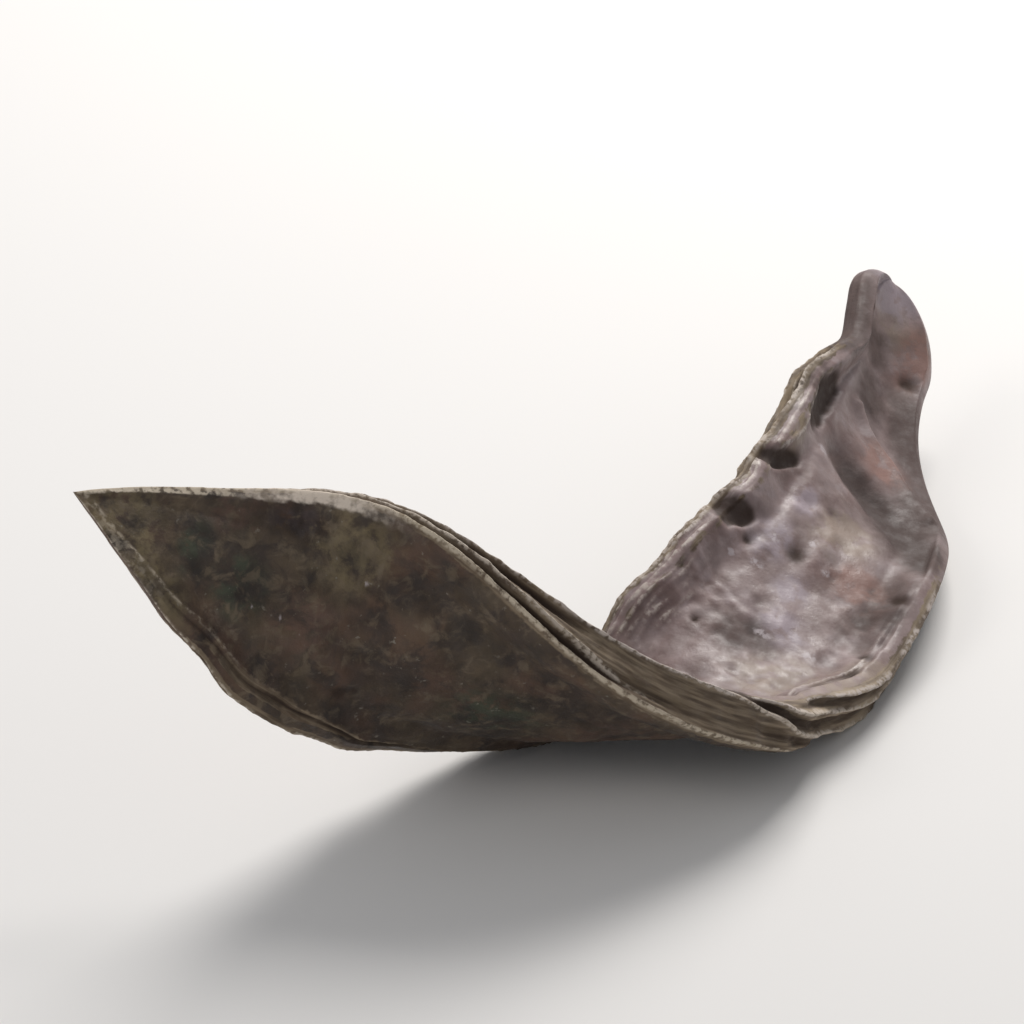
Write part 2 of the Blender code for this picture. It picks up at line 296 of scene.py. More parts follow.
# Patches of colour: side, or 0 for both, place along, place across, radius along, radius across
PATCHES = {
    "green": (
        (1, 12.5, 0, 1.6, 2.8), (1, 18, -0.2, 2.8, 3.2), (1, 47, -0.1, 5, 4),
        (1, 96, 0.3, 7, 5),
    ),
    "russet": (
        (1, 14.4, 0.6, 3, 2.2), (1, 25, -0.2, 4, 3.5), (1, 60, 0.2, 6, 5),
        (1, 115, -0.2, 8, 5), (-1, 30, 0.1, 9, 5), (-1, 97.5, 0.45, 3.2, 3),
        (-1, 120.8, 0.28, 3, 3.4), (-1, 140, 0.86, 4.4, 2.2),
    ),
    "tan": (
        (0, 80, 1.1, 10, 4), (0, 8.5, -1, 6.5, 2.4), (1, 4, -0.4, 6, 5),
        (1, 25.8, 0.62, 4, 4), (1, 145, 0, 6, 5), (-1, 3, 0, 6, 4),
        (-1, 79, 0.45, 5, 5), (-1, 104, 0.05, 4.5, 4), (-1, 110.5, -0.92, 3.5, 1.6),
        (-1, 142.5, 0.3, 3.4, 3.6),
    ),
    # Brown patches: largely painted shade in the valley of the inner face, on slopes near the base and on the
    # rim strip beside the seam edge, partly darker spots of the husk
    "brown": (
        (0, 136, -1.25, 9, 2.2), (1, 21, 0.7, 3, 1.6), (-1, 83, -0.15, 3, 3.4),
        (-1, 96, 0.78, 6, 2.8), (-1, 106, 0.92, 4, 2.4), (-1, 110.4, 0.66, 5.2, 4.2),
        (-1, 113.8, 0.42, 3, 3.4), (-1, 115.4, 0.05, 2.4, 3.2), (-1, 117, 0.88, 8, 4.2),
        (-1, 129, 0.84, 8, 3), (-1, 131, 0, 4, 3.4), (-1, 138, -0.1, 3, 3),
    ),
    # Lilac patches: the husk's mauve tint, partly painted sheen on crumpled ridges and painted light on the
    # top of the base
    "lilac_and_sheen": (
        (-1, 52, -0.2, 6, 4), (-1, 86.5, 0.1, 2.6, 3.6), (-1, 92, -0.05, 2.4, 2),
        (-1, 96.5, -0.5, 3.2, 2.4), (-1, 104.5, -0.45, 2.4, 2), (-1, 145.5, 0, 3, 6),
    ),
    # Painted glints: pale spots that stand in for highlights on the waxy skin
    "painted_glint": (
        (1, 19.9, -0.35, 0.25, 0.25), (1, 22.8, -0.25, 0.2, 0.25), (1, 28.6, 0.42, 0.2, 0.3),
        (-1, 84.6, 0, 0.5, 1.1), (-1, 85.2, 0.47, 0.7, 0.8), (-1, 91.4, -0.72, 0.5, 0.5),
        (-1, 92.3, -0.48, 0.5, 1), (-1, 96.8, -0.49, 0.7, 0.6), (-1, 96.8, 0.12, 0.5, 0.5),
        (-1, 99.4, -0.15, 0.8, 0.5), (-1, 114.3, -0.52, 0.8, 0.8),
    ),
}

# Cells of the irregular patterns before they repeat
NOISE_CELLS = 256

# Colours of the outer face, and its patches: name, strength, colour; the brown patches are partly painted
# shade
OUTER_DARK = (0.04, 0.024, 0.015, 1)
OUTER_PALE = (0.08, 0.056, 0.033, 1)
OUTER_RED = (0.09, 0.046, 0.028, 1)
OUTER_BLOTCH = (0.028, 0.018, 0.013, 1)
OUTER_WORN = (0.132, 0.098, 0.062, 1)
OUTER_FLECK = (0.23, 0.205, 0.165, 1)
OUTER_PATCHES = (
    ("tan", 0.8, (0.152, 0.116, 0.06, 1)),
    ("russet", 0.65, (0.098, 0.052, 0.036, 1)),
    ("green", 0.85, (0.036, 0.046, 0.026, 1)),
    ("brown", 0.7, (0.04, 0.03, 0.034, 1)),
)

# The same for the inner face; its brown patches, largely painted shade, are less broken up than the others,
# and its lilac patches are partly painted sheen
INNER_DARK = (0.172, 0.115, 0.105, 1)
INNER_PALE = (0.264, 0.2, 0.192, 1)
INNER_BLOOM = (0.318, 0.262, 0.264, 1)
INNER_PATCHES = (
    ("green", 0.6, (0.13, 0.138, 0.105, 1)),
    ("tan", 0.75, (0.262, 0.202, 0.158, 1)),
    ("lilac_and_sheen", 0.7, (0.33, 0.278, 0.312, 1)),
    ("brown", 0.92, (0.074, 0.047, 0.041, 1)),
    ("russet", 0.8, (0.262, 0.146, 0.118, 1)),
)

# Dark and pale streaks of the edges, also where they are tan; painted shade of troughs and painted light of
# crests; and colours of the pale lines of each face, of painted glints, of the painted shade in grooves and
# other recesses, and of the worn ridge with its painted highlight
BAND = ((0.092, 0.063, 0.04, 1), (0.195, 0.148, 0.097, 1))
TAN_BAND = ((0.15, 0.11, 0.075, 1), (0.33, 0.258, 0.18, 1))
TROUGH_PAINTED_SHADE = (0.62, 0.6, 0.58, 1)
CREST_PAINTED_LIGHT = (1.35, 1.36, 1.38, 1)
INNER_LINE = (0.5, 0.435, 0.39, 1)
OUTER_LINE = (0.51, 0.435, 0.335, 1)
PAINTED_GLINT_COLOUR = (0.48, 0.425, 0.44, 1)
RECESS_SHADE_COLOUR = (0.04, 0.024, 0.017, 1)
WORN_HIGHLIGHT_RIDGE = (0.69, 0.595, 0.5, 1)

# Fine grain of the husk, as a bump
BUMP_DISTANCE = 0.17
BUMP_STRENGTH = 0.6

# Floor: half width in metres, colour, roughness
FLOOR_REACH = 3.0
FLOOR_COLOUR = (0.76, 0.75, 0.735, 1)
FLOOR_ROUGHNESS = 0.75

# Surroundings, and square soft lights: name, place and target in metres, side, power, colour
WORLD_COLOUR = (0.93, 0.95, 1, 1)
WORLD_STRENGTH = 0.34
LIGHTS = (
    ("key", (0.14, 0.36, 0.42), (0.01, 0, 0.01), 0.3, 3.3, (1, 0.97, 0.94)),
    ("fill", (-0.42, -0.26, 0.38), (0, 0, 0.01), 0.28, 0.8, (1, 0.97, 0.93)),
)

# The camera looks down at the pod from the side of the pointed tip: elevation, distance, target on the centre
# line's own coordinates, lens and sensor width
CAMERA_ELEVATION = 30.0
CAMERA_DISTANCE = 450.0
CAMERA_TARGET = (0, 12, 20.785)
CAMERA_LENS = 155.8
CAMERA_SENSOR = 36.0


def smooth(x, low, high):
    """Smooth step from 0 at low to 1 at high."""
    f = np.clip((x - low) / (high - low), 0, 1)
    return f * f * (3 - 2 * f)


def bump(x, centre, reach):
    """Bell of height 1."""
    return np.exp(-((x - centre) / reach) ** 2)


def between(x, low, full, last, gone):
    """Rises from 0 at low to 1 at full, and falls from 1 at last to 0 at gone."""
    return smooth(x, low, full) * (1 - smooth(x, last, gone))


def follow(s, table):
    """Value of a table of (place, value) pairs at places s."""
    places, values = np.transpose(table)
    return np.interp(s, places, values)


def unit_cells(x, y, seed):
    """Seeded source, column and row of each point's unit cell, and which number a cell beside it has."""
    rng = np.random.default_rng(seed)
    order = rng.permutation(NOISE_CELLS)
    column = np.floor(x).astype(int)
    row = np.floor(y).astype(int)

    def pick(right, up):
        return order[(order[(column + right) % NOISE_CELLS] + row + up) % NOISE_CELLS]

    return rng, column, row, pick


def lattice(x, y, seed):
    """Smooth noise between about -1 and 1, on a seeded lattice of unit cells."""
    rng, column, row, pick = unit_cells(x, y, seed)
    angles = rng.uniform(0, math.tau, NOISE_CELLS)
    fx = x - column
    fy = y - row

    def pull(right, up):
        angle = angles[pick(right, up)]
        return np.cos(angle) * (fx - right) + np.sin(angle) * (fy - up)

    wx = fx * fx * fx * (fx * (fx * 6 - 15) + 10)
    wy = fy * fy * fy * (fy * (fy * 6 - 15) + 10)
    low = pull(0, 0) * (1 - wx) + pull(1, 0) * wx
    high = pull(0, 1) * (1 - wx) + pull(1, 1) * wx
    return 1.5 * (low * (1 - wy) + high * wy)


def grain(x, y, seed, octaves=3):
    """Sum of finer and finer noise."""
    return sum(lattice(x * 2 ** k, y * 2 ** k, seed + k) / 2 ** k for k in range(octaves))


def wrinkles(x, y, seed, octaves=2):
    """Sharp crests between soft troughs, from -1 to 1."""
    total = 0
    share = 0
    for k in range(octaves):
        total = total + (1 - 2.4 * np.abs(lattice(x * 2 ** k, y * 2 ** k, seed + k))) / 2 ** k
        share += 1 / 2 ** k
    return total / share


def cells(x, y, seed):
    """Distance to the nearest of one scattered point in each unit cell."""
    rng, column, row, pick = unit_cells(x, y, seed)
    place_x = rng.uniform(0.1, 0.9, NOISE_CELLS)
    place_y = rng.uniform(0.1, 0.9, NOISE_CELLS)
    nearest = np.full(np.broadcast(x, y).shape, math.inf)
    for right in (-1, 0, 1):
        for up in (-1, 0, 1):
            cell = pick(right, up)
            away = np.hypot(column + right + place_x[cell] - x, row + up + place_y[cell] - y)
            nearest = np.minimum(nearest, away)
    return nearest


def creased(x, y, seed):
    """Net of sharp irregular crests round dished facets, from about -1 to 1."""
    bent_x = x + 0.35 * grain(x * 0.9, y * 0.9, seed + 1, 2)
    bent_y = y + 0.35 * grain(x * 0.9, y * 0.9, seed + 2, 2)
    return 2.2 * (cells(bent_x, bent_y, seed) - 0.42)


def layer(kind, s, across, form):
    """Irregular pattern of a kind, from its row of numbers."""
    height, length, breadth, *rest = form
    return height * kind(s / length, across / breadth, *rest)


def drift(s, length, seed, row=0):
    """Smooth noise along the pod alone, between about -1 and 1."""
    return lattice(s / length, row + 0.5, seed)


def natural_spline(values, at):
    """Natural cubic spline through evenly spaced values, and its slope."""
    count = len(values)
    matrix = np.eye(count)
    right = np.zeros_like(values)
    for k in range(1, count - 1):
        matrix[k, k - 1:k + 2] = (1, 4, 1)
        right[k] = 6 * (values[k - 1] - 2 * values[k] + values[k + 1])
    bend = np.linalg.solve(matrix, right)
    index = np.minimum(at.astype(int), count - 2)
    f = (at - index)[:, None]
    g = 1 - f
    low, high = values[index], values[index + 1]
    bend_low, bend_high = bend[index], bend[index + 1]
    point = g * low + f * high + ((g ** 3 - g) * bend_low + (f ** 3 - f) * bend_high) / 6
    slope = high - low + ((1 - 3 * g ** 2) * bend_low + (3 * f ** 2 - 1) * bend_high) / 6
    return point, slope


def ring_distances(length):
    """Distances of the rings from the tip: even along the pod, and in even angles round its base."""
    main = np.linspace(0, length - BASE_ROUNDING, RINGS)
    angles = np.linspace(0, 0.5 * math.pi, CAP_RINGS + 2)[1:]
    return np.concatenate([main, length - BASE_ROUNDING + BASE_ROUNDING * np.sin(angles)])


def centre_line():
    """Station values, distances from the tip and directions of the section at each ring."""
    table = np.array(STATIONS)
    fine_at = np.linspace(0, len(table) - 1, 2001)
    fine, _ = natural_spline(table, fine_at)
    steps = np.linalg.norm(np.diff(fine[:, :3], axis=0), axis=1)
    walked = np.concatenate([[0], np.cumsum(steps)])
    distance = ring_distances(walked[-1])
    values, slope = natural_spline(table, np.interp(distance, walked, fine_at))
    along = slope[:, :3] / np.linalg.norm(slope[:, :3], axis=1)[:, None]
    level = np.cross(along, (0, 0, 1))
    level /= np.linalg.norm(level, axis=1)[:, None]
    rise = np.cross(level, along)
    turn = np.radians(values[:, 3:4])
    across = rise * np.cos(turn) + level * np.sin(turn)
    outward = np.cross(along, across)
    return values, distance, across, outward


def end_rounding(s):
    """Share of the full size near the two ends: a thin beak at the tip and a rounded base."""
    tip = np.sqrt(np.clip(s / TIP_ROUNDING, 0, 1))
    cap = 1 - np.clip((s[-1] - s) / BASE_ROUNDING, 0, 1)
    return tip, np.sqrt(1 - cap * cap)


def edges(s, width, thickness):
    """Place of the seam edge and the back edge across the width, and the depth of their profiles."""
    half = 0.5 * width
    full = np.minimum(1, thickness / FULL_THICKNESS)
    depth = np.minimum(EDGE_DEPTH_SHARE * thickness, 0.5 * half)
    folded = between(s, *FOLDS_ALONG)
    seam_end = half + FOLD_DEPTH * folded * np.sin(math.tau * s / FOLD_SPACING)
    for place, size, reach in SEAM_FORMS:
        seam_end = seam_end + size * bump(s, place, reach)
    scoop_at, scoop_size, scoop_reach = SCOOP
    back_end = -half + scoop_size * bump(s, scoop_at, scoop_reach)
    for length, height, phase in BACK_WAVES:
        back_end = back_end + height * full * np.sin(math.tau * s / length + phase)
    return seam_end, back_end, depth


class Section:
    """Sizes of the section at each ring, as columns."""

    def __init__(self, s, width, thickness):
        self.s = s[:, None]
        self.seam = 0.5 * thickness[:, None]
        share = BACK_SHARE_TIP + (BACK_SHARE_BASE - BACK_SHARE_TIP) * smooth(self.s, *BACK_SHARE_COMES)
        self.back = self.seam * share
        seam_end, back_end, depth = edges(s, width, thickness)
        self.seam_end = seam_end[:, None]
        self.back_end = back_end[:, None]
        self.depth = depth[:, None]
        self.low = self.back_end + self.depth
        self.high = self.seam_end - self.depth
        self.half = 0.5 * (self.high - self.low)
        breadth = np.minimum(1, width[:, None] / FULL_WIDTH)
        self.cup = (CUP_TIP + (CUP_BASE - CUP_TIP) * smooth(self.s, *CUP_COMES)) * breadth ** 2
        self.full_edge = np.minimum(1, self.seam / FULL_EDGE_HALF)
        self.full_face = breadth * np.minimum(1, self.seam / FULL_FACE_HALF)


def corner(q, start):
    """Rounding of an edge's profile towards the faces."""
    return np.maximum(0, (np.abs(q) - start) / (1 - start)) ** 2


def trough(x, centre, reach):
    """Flat-bottomed bell of height 1."""
    return np.exp(-((x - centre) / reach) ** 4)


def facing(q, full, base):
    """From which face an edge's looks come: 0 the inner, 1 the outer one, which fades out by base."""
    turned = 0.5 + 0.5 * np.sign(q) * smooth(np.abs(q), 0.5, full)
    return turned * (1 - base * (1 - smooth(q, 0.7, 1)))


def seam_grooves(s, q, waver):
    """Depth of the grooves of the seam edge, 0 to 1."""
    grooves = [trough(q, follow(s, path) + waver, GROOVE_REACH) * follow(s, along) for path, along in GROOVES]
    return np.max(grooves, axis=0)


def seam_strands(s, q, waver):
    """Strands of the seam edge: how far they stand out, and how strong they are."""
    rises = []
    strengths = []
    for path, height, along, reach in STRANDS:
        strengths.append(bump(q, follow(s, path) + waver, reach) * follow(s, along))
        rises.append(height * strengths[-1])
    return np.max(rises, axis=0), np.max(strengths, axis=0)


def seam_block(part):
    """Offsets and looks of the seam edge, from the inner to the outer face."""
    s = part.s
    q = np.linspace(-1, 1, SEAM_STEPS + 1)[None, :-1]
    across = q * part.seam
    waver = SEAM_WAVER * drift(s, SEAM_WAVER_LENGTH, 61)
    grooves = seam_grooves(s, q, waver)
    strands, crest = seam_strands(s, q, waver)
    crumbs = 1 + layer(grain, s, across, SEAM_CRUMBS)
    lengthwise = layer(wrinkles, s, across, SEAM_WRINKLES)
    inside = 1 - smooth(np.abs(q), 0.8, 0.95)
    folded = between(s, *FOLDED_ALONG)
    rise = strands * crumbs * part.full_edge
    rise += folded * layer(wrinkles, s + FOLD_SLANT * q, across, FOLD_WRINKLES) * inside
    rise += (lengthwise + layer(grain, s, across, SEAM_GRAIN)) * part.full_edge * inside

    rim = smooth(s, *RIM_COMES) * (q < 0)
    drop = part.depth * (corner(q, CORNER_START - RIM_ROUNDING * rim) + GROOVE_DEPTH * grooves)
    a = part.seam_end - drop + rise * (1 - rim * smooth(-q, 0.2, 0.45))
    b = across * (1 - RIM_LOWERING * rim * smooth(-q, 0, 1))

    base = smooth(s, *BASE_COMES)
    skinned = np.maximum(smooth(np.abs(q), 0.9, 0.96), smooth(-q, 0.3, 0.6) * rim)
    crown = 1 - smooth(np.abs(q), 0.88, 0.94)
    patchy = 1 - 0.6 * smooth(s, *PATCHY_COMES) * smooth(lattice(s / 4, q + 0.5, 66), -0.3, 0.3)
    pale = np.clip(1.1 * crest * crumbs, 0, 1) * crown * patchy * (1 - 0.7 * base)
    # Painted shade in the grooves, less on the strands
    recess_shade = np.clip(1.2 * grooves - 0.7 * crest, 0, 1) * (1 - 0.6 * base)
    looks = {
        "side": facing(q, 0.85, 0.9 * base),
        "band": (1 - skinned) * (1 - 0.8 * base),
        "pale": np.maximum(pale, follow(s, TIP_LINE) * smooth(q, 0.4, 0.75)),
        "recess_shade": recess_shade * (1 - 0.4 * bump(s, *LESS_RECESS_SHADE)),
        "wear_and_highlight": bump(s, *WORN_HIGHLIGHT_AT) * smooth(q, 0.25, 0.6),
        "crest": np.clip(0.55 * lengthwise / SEAM_WRINKLES[0], -1, 1),
        "inset": np.maximum(part.seam_end - a, 0),
    }
    return a, b, looks


def edge_hollows(s, into_face):
    """Strength of the hollows, from the places along and the distance from the back edge's corner."""
    border = layer(grain, s, into_face + HOLLOW_BORDER_SHIFT, HOLLOW_BORDER)
    strengths = []
    for place, length, centre, reach, tilt in HOLLOWS:
        middle = centre + tilt * (s - place)
        away = np.hypot((s - place) / length, (into_face - middle) / reach) + border
        strengths.append(1 - smooth(away, 0.3, 1))
    return np.max(strengths, axis=0)


def back_strands(s, q):
    """Strength of the strands in the groove of the back edge."""
    strands = []
    for k, (place, reach) in enumerate(BACK_STRANDS):
        strands.append(bump(q, place + 0.1 * drift(s, 6, 74, 2.3 * k), reach))
    return np.max(strands, axis=0) * smooth(s, *BACK_STRANDS_COME)


def corner_strands(s, q, hollow):
    """Strength of the fibres on the back edge's corner with the inner face, and of the gaps beside them."""
    fibres = []
    for k, (place, reach) in enumerate(CORNER_STRANDS):
        whole = np.clip(0.8 + 0.9 * drift(s, 4.5, 76, 1.9 * k), 0, 1)
        fibres.append(bump(q, place + 0.05 * drift(s, 4, 75, 4.1 * k), reach) * whole)
    there = between(s, *CORNER_STRANDS_ALONG)
    fibres = np.max(fibres, axis=0) * (1 - hollow) * there
    gaps = smooth(-q, 0.68, 0.74) * there * (1 - fibres)
    return fibres, gaps


def back_block(part):
    """Offsets and looks of the back edge, from the outer to the inner face."""
    s = part.s
    q = np.linspace(1, -1, BACK_STEPS + 1)[None, :-1]
    across = q * part.back
    open_end = 1 - smooth(s, *BACK_CLOSES)
    middle = trough(q, 0, BACK_GROOVE_REACH)
    groove = middle * open_end
    gape = np.max([bump(s, place, reach) for place, reach in SPLITS], axis=0)
    crumbs = 1 + layer(grain, s, across, BACK_CRUMBS)
    ridges = bump(q, BACK_RIDGE_PLACE, BACK_RIDGE_REACH) + bump(q, -BACK_RIDGE_PLACE, BACK_RIDGE_REACH)
    strands = back_strands(s, q) * open_end
    lengthwise = layer(wrinkles, s, across, BACK_WRINKLES) * (0.3 + 0.7 * open_end)
    rise = (BACK_RIDGE_HEIGHT * ridges * open_end + BACK_STRAND_HEIGHT * strands) * crumbs
    rise = (rise + lengthwise * (1 - smooth(np.abs(q), 0.85, 1))) * part.full_edge

    hollow = edge_hollows(s, -part.back - across)
    fibres, gaps = corner_strands(s, q, hollow)
    proud = CORNER_STRAND_HEIGHT * fibres * crumbs
    start = BACK_CORNER_START * (0.5 + 0.5 * open_end)
    drop = part.depth * (corner(q, start) + BACK_GROOVE_DEPTH * groove) + SPLIT_DEPTH * gape * middle
    notch = HOLLOW_NOTCH * HOLLOW_CUT * hollow * smooth(q, -1, -0.7)
    a = part.back_end + drop - rise * (1 - hollow) + notch - proud
    b = across + HOLLOW_CUT * hollow - proud

    skinned = smooth(np.abs(q), 0.76, 0.88)
    crown = 1 - smooth(np.abs(q), 0.7, 0.8)
    patchy = np.clip(0.7 + 0.8 * lattice(s / 5, q + 0.5, 73), 0.15, 1)
    strips = (ridges + 0.6 * strands) * crown * open_end * patchy
    tip_pale = follow(s, BACK_TIP_PALE) * smooth(q, -0.3, 0.3)
    pale = np.maximum(np.maximum(strips, fibres), tip_pale) * crumbs * (1 - hollow)
    # Painted shade in the groove, more where it gapes, between the corner fibres and in the hollows
    recess_shade = (0.75 + gape) * groove * (1 - strands) + 0.3 * gaps + 0.88 * smooth(hollow, 0, 0.8)
    looks = {
        "side": facing(q, 0.8, 0.85 * smooth(s, *BASE_COMES)),
        "band": (1 - skinned) * (0.1 + 0.9 * open_end) * smooth(s, *BACK_BAND_COMES),
        "pale": np.clip(pale, 0, 1),
        "recess_shade": np.clip(recess_shade, 0, 1),
        "wear_and_highlight": np.zeros_like(a),
        "crest": np.clip(0.9 * lengthwise / BACK_WRINKLES[0], -1, 1),
        "inset": np.maximum(a - part.back_end, 0),
    }
    return a, b, looks


def seed_swellings(s, a):
    """Low swellings over the seeds."""
    total = np.zeros_like(a)
    for k in range(SEED_COUNT):
        shift = SEED_STAGGER * math.sin(2.4 * k)
        total += SEED_RISE * bump(s, SEED_FIRST + SEED_SPACING * k, SEED_LENGTH) * bump(a, shift, SEED_WIDTH)
    return total


def channels(v):
    """Shallow channels that follow both edges."""
    return sum(height * bump(v, share, reach) for share, height, reach in CHANNELS)


def base_forms(s, v):
    """Broad forms of the inner face near the base."""
    return sum(height * bump(s, place, length) * bump(v, share, reach)
               for place, share, height, length, reach in INNER_FORMS)


def path_distance(s, a, half, path):
    """Distance to a line of straight runs through points: places along and across."""
    points = [(place, share * float(half[np.argmin(abs(s[:, 0] - place)), 0])) for place, share in path]
    nearest = np.full_like(a, math.inf)
    for (s0, a0), (s1, a1) in zip(points[:-1], points[1:]):
        ds, da = s1 - s0, a1 - a0
        f = np.clip(((s - s0) * ds + (a - a0) * da) / (ds * ds + da * da), 0, 1)
        nearest = np.minimum(nearest, np.hypot(s - s0 - f * ds, a - a0 - f * da))
    return nearest


def pits(s, a, half, side):
    """Small pits of one face: how deep, and how much painted shade lies in them."""
    depth = np.zeros_like(a)
    recess_shade = np.zeros_like(depth)
    for pit_side, place, share, size, radius in PITS:
        if pit_side == side:
            spot = np.exp(-(((s - place) ** 2 + (a - share * half) ** 2) / radius ** 2))
            depth += size * spot
            recess_shade = np.maximum(recess_shade, spot)
    return depth, recess_shade


def outer_leather(s, a):
    """Fine leathery relief of the outer face, wrinkled in patches."""
    patchy = smooth(lattice(s / 6, a / 5, 88), -0.1, 0.5)
    leather = layer(creased, s, a, OUTER_FACETS) + layer(wrinkles, s, a, OUTER_WRINKLES) * patchy
    return leather + layer(grain, s, a, OUTER_GRAIN)


def outer_relief(s, a, part):
    """Relief of the outer face, and its looks."""
    from_back = a - part.low
    line_at = follow(s, BACK_LINE_PLACE)
    crumbs = 1 + layer(grain, s, a, OUTER_CRUMBS)
    line = bump(from_back, line_at, LINE_REACH) * crumbs
    groove = bump(from_back, line_at - LINE_GROOVE_OFFSET, LINE_REACH) * follow(s, LINE_GROOVE_DEPTH)
    flakes = layer(wrinkles, s, from_back, FLAKES) * bump(from_back, line_at + FLAKES_OFFSET, FLAKES_REACH)
    flakes = flakes * bump(s, *FLAKES_AT)
    leather = outer_leather(s, a)
    depth, pit_shade = pits(s, a, part.half, 1)
    relief = BACK_LINE_HEIGHT * line - groove + flakes + layer(grain, s, a, OUTER_SWELLS) + leather - depth

    tip_line = follow(s, TIP_LINE) * (1 - smooth(part.high - a, 0, 0.25))
    lines = line * follow(s, BACK_LINE_PALE) + 0.3 * np.clip(flakes / FLAKES[0], 0, 1)
    lines += follow(s, BACK_TIP_PALE) * (1 - smooth(from_back, 0.3, 1.3))
    banded = 1 - smooth(from_back, line_at - 0.1, line_at + 0.5)
    worn_highlight_edge = part.high - a + layer(grain, s, a, WORN_HIGHLIGHT_BORDER)
    looks = {
        "pale": np.clip(np.maximum(lines, tip_line), 0, 1),
        # Painted shade in the groove beside the line and in the pits
        "recess_shade": np.clip(1.8 * groove + 0.8 * pit_shade, 0, 1),
        "band": 0.8 * banded * smooth(s, *OUTER_BAND_COMES),
        # The worn ridge near the tip, also painted lighter as a highlight
        "wear_and_highlight": bump(s, *WORN_HIGHLIGHT_AT) * (1 - smooth(worn_highlight_edge, 0, 0.55)),
        "crest": np.clip(leather / OUTER_CREST, -1, 1),
    }
    return relief, looks


def seam_slit(s, from_seam):
    """Slit of the inner face beside the seam edge, broken here and there, and the thin line beside it."""
    place = follow(s, SEAM_SLIT_PLACE)
    whole = np.clip(0.65 + 0.9 * drift(s, 3, 100), 0.1, 1)
    slit = bump(from_seam, place, SLIT_REACH) * follow(s, SEAM_SLIT_DEPTH) * whole
    line = bump(from_seam, place + SEAM_LINE_OFFSET, LINE_REACH) * between(s, *SEAM_LINE_ALONG)
    return slit, line


def rim_line(s, from_back):
    """Strength of the thin line of the inner face beside the back edge, and its distance from the edge."""
    near_hollow = np.max([bump(s, place, length + RIM_LINE_MARGIN) for place, length, *_ in HOLLOWS], axis=0)
    far = follow(s, RIM_LINE_FAR)
    waver = RIM_LINE_WAVER * grain(s / 4, 0.5, 89, 2)
    at = far + (RIM_LINE_NEAR - far) * near_hollow + waver
    return bump(from_back, at, LINE_REACH) * follow(s, RIM_LINE_STRENGTH), at


def fibre_net(s, from_back):
    """Strength of the fibres of the inner face beside the back edge, and of the painted shade in the gaps
    between them.
    """
    fibres = []
    for k, place in enumerate(NET_LINES):
        at = place + NET_WAVER * drift(s, 5, 92, 3.7 * k)
        whole = np.clip(0.75 - 0.08 * k + 0.9 * drift(s, 3, 90, 5.3 * k), 0, 1)
        fibres.append(bump(from_back, at, NET_LINE_REACH) * whole)
    there = bump(s, *NET_AT)
    net = np.max(fibres, axis=0) * there
    return net, there * (1 - smooth(from_back, *NET_GAPS_GO)) * (1 - net)


def shrunken_relief(s, a, v):
    """Wrinkled relief of the inner face, calm in patches and beside the seam edge near the base."""
    patchy = 1 - 0.75 * smooth(lattice(s / 8, a / 6, 94), -0.2, 0.35)
    rough = (0.4 + 0.6 * bump(s, *ROUGH)) * patchy
    rough = rough * (1 - 0.85 * smooth(s, *CALM_COMES) * smooth(v, 0.3, 0.7))
    shrunk = layer(creased, s, a, INNER_FACETS) - layer(creased, s, a, INNER_DIMPLES)
    shrunk += layer(wrinkles, s + INNER_SLANT * a, a, INNER_WRINKLES)
    shrunk += layer(creased, s, a, INNER_CREASES)
    return rough * shrunk


def inner_relief(s, a, v, hollow, part):
    """Relief of the inner face beside its hollows, and its looks."""
    from_back = a - part.low
    slit, seam_line = seam_slit(s, part.high - a)
    rim, rim_at = rim_line(s, from_back)
    net, gaps = fibre_net(s, from_back)
    crumbs = 1 + layer(grain, s, a, INNER_CRUMBS)
    crease = bump(path_distance(s, a, part.half, CREASE), 0, CREASE_REACH)
    valley = bump(path_distance(s, a, part.half, VALLEY), 0, VALLEY_REACH)
    shrunk = shrunken_relief(s, a, v)
    depth, pit_shade = pits(s, a, part.half, -1)
    relief = base_forms(s, v) + CREASE_HEIGHT * crease - VALLEY_DEPTH * valley
    relief += (RIM_LINE_HEIGHT * rim + SEAM_LINE_HEIGHT * seam_line) * crumbs - slit
    relief += NET_HEIGHT * net + shrunk + layer(grain, s, a, INNER_SWELLS) + layer(grain, s, a, INNER_GRAIN)
    relief -= depth

    lines = (0.8 * rim + 0.7 * seam_line * follow(s, SEAM_LINE_PALE)) * crumbs
    # Painted shade in the hollows, the slit, the pits and the gaps of the net
    recess_shade = 0.88 * smooth(hollow, 0, 0.8) + 1.5 * slit + 0.8 * pit_shade + 0.35 * gaps
    banded = 1 - smooth(from_back, rim_at - 0.1, rim_at + 0.4)
    looks = {
        "pale": np.clip(lines + 0.9 * net, 0, 1),
        "recess_shade": np.clip(recess_shade, 0, 1),
        "band": 0.5 * banded * (1 - smooth(s, *RIM_BAND_GOES)),
        "wear_and_highlight": np.zeros_like(a),
        # The valley also gets painted shade through this value
        "crest": np.clip(shrunk / INNER_CREST - 0.7 * valley, -1, 1),
    }
    return relief, looks


def outer_forms(part, s, a, v):
    """Forms of the outer face: flanks towards the edges, broad swellings and fine relief; and its looks."""
    up = smooth(np.abs(v), FLANK_START, 1)
    flank = (np.where(v > 0, part.seam, part.back) - FACE_SHARE * part.seam) * up
    relief, looks = outer_relief(s, a, part)
    return flank, seed_swellings(s, a) + channels(v), relief, looks


